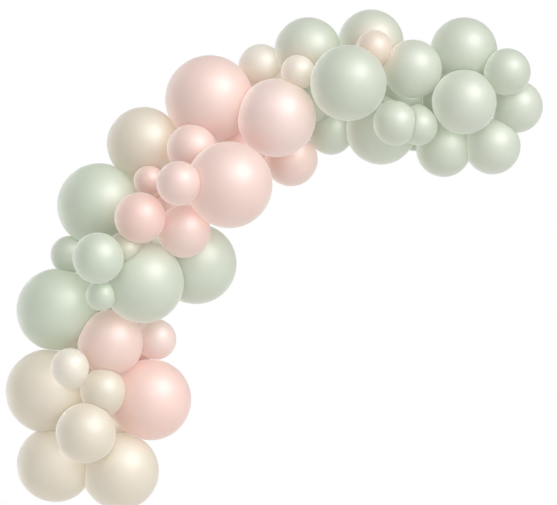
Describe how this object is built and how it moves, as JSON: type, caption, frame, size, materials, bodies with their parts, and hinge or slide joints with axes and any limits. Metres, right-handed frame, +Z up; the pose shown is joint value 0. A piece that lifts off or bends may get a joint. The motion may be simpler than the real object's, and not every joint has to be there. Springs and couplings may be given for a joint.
{
  "type": "balloon garland",
  "caption": "Wall-hung curved swag of tied pearl latex balloons in mixed sizes, cream at the foot, then blush and sage, pressed together and flat against the wall.",
  "frame": {"origin": "middle of the flat patch where the largest shoulder balloon is pressed on the wall", "axes": "+Z up, +Y into the wall, which is the plane y = 0, -Y out towards the viewer, +X to the viewer's right"},
  "size_m": [1.8776, 0.5195, 1.745],
  "materials": {
    "sage_latex": "satin pearl latex",
    "blush_latex": "satin pearl latex",
    "cream_latex": "satin pearl latex",
    "peach_latex": "satin pearl latex"
  },
  "bodies": {
    "root": {"sage_crown_rim_left": "sage_latex", "sage_crown_rim_right": "sage_latex", "sage_tip_rim": "sage_latex", "sage_tip_end": "sage_latex", "sage_tip_upper": "sage_latex", "sage_tip_lower_left": "sage_latex", "sage_tip_lower_right": "sage_latex", "sage_crown_under_small": "sage_latex", "sage_crown_under_large": "sage_latex", "cream_crown_rim": "cream_latex", "peach_crown_left": "peach_latex", "peach_crown_right": "peach_latex", "blush_shoulder_under": "blush_latex", "sage_bend_right": "sage_latex", "sage_bend_top": "sage_latex", "cream_shoulder_rim": "cream_latex", "blush_shoulder_largest": "blush_latex", "blush_shoulder_small": "blush_latex", "sage_bend_rim": "sage_latex", "sage_bend_middle": "sage_latex", "blush_leg_small": "blush_latex", "sage_bend_tucked": "sage_latex", "sage_bend_left": "sage_latex", "cream_foot_left": "cream_latex", "cream_foot_right": "cream_latex", "cream_foot_upper": "cream_latex", "blush_leg_large": "blush_latex", "blush_shoulder_inner": "blush_latex", "sage_crown_twin_right": "sage_latex", "sage_crown_twin_left": "sage_latex", "sage_crown_right": "sage_latex", "sage_crown_front": "sage_latex", "sage_tip_backing": "sage_latex", "sage_tip_front": "sage_latex", "blush_bunch_button": "blush_latex", "blush_bunch_upper": "blush_latex", "sage_bend_front": "sage_latex", "blush_leg_middle": "blush_latex", "sage_bend_button": "sage_latex", "cream_foot_egg": "cream_latex", "cream_foot_small": "cream_latex", "blush_shoulder_front": "blush_latex", "blush_bunch_left": "blush_latex", "blush_bunch_lower": "blush_latex", "cream_foot_front": "cream_latex", "cream_foot_backing": "cream_latex", "cream_leg_backing": "cream_latex", "blush_leg_backing": "blush_latex", "sage_leg_backing": "sage_latex", "sage_bend_backing": "sage_latex", "blush_bunch_backing": "blush_latex", "blush_shoulder_backing": "blush_latex", "blush_inner_backing": "blush_latex", "cream_crown_backing": "cream_latex", "sage_crown_backing_left": "sage_latex", "sage_crown_button": "sage_latex", "sage_crown_backing_middle": "sage_latex", "sage_crown_backing_right": "sage_latex"}
  },
  "joints": []
}
